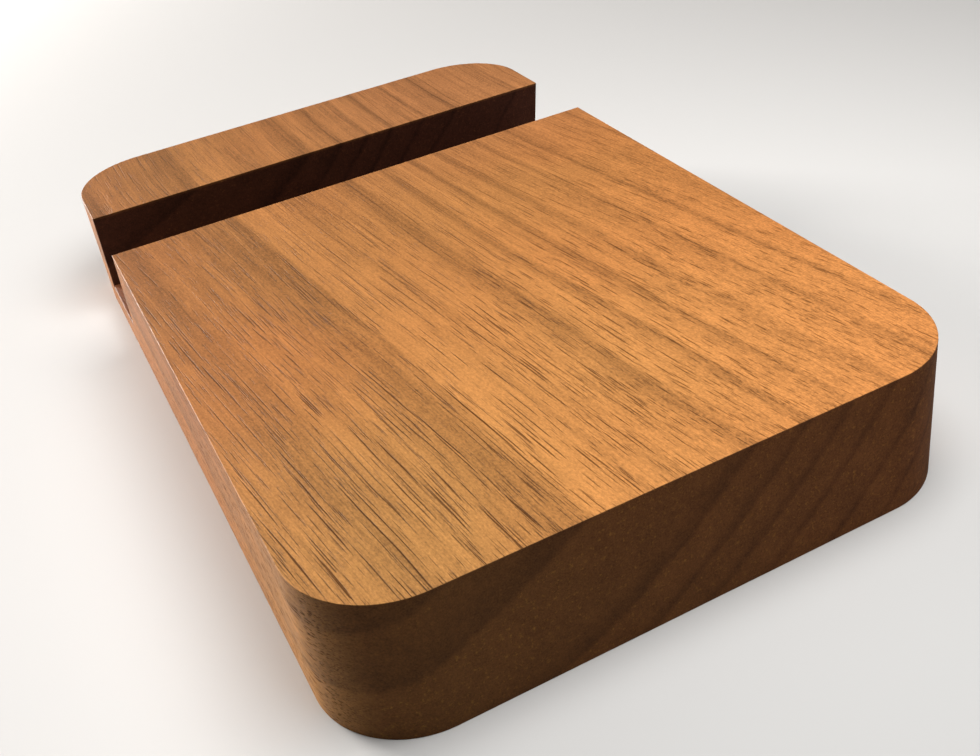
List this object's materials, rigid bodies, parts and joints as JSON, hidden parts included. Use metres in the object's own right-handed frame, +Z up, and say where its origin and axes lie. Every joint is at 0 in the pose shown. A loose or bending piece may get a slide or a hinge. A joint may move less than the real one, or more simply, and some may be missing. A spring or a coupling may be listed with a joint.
{
  "type": "phone stand",
  "caption": "Low rounded block of solid walnut with a slanted slot across its front end, in which a phone stands on its edge and leans back.",
  "frame": {"origin": "centre of the flat underside, on the surface that the stand rests on", "axes": "+Z up; +Y along the length, towards the lip and the person who looks at the phone; +X along the slot and across the width"},
  "size_m": [0.08, 0.127, 0.019],
  "materials": {
    "walnut": "fine-sanded walnut with a thin satin oil or wax finish and open grain"
  },
  "bodies": {
    "root": {"walnut_block": "walnut"}
  },
  "joints": []
}
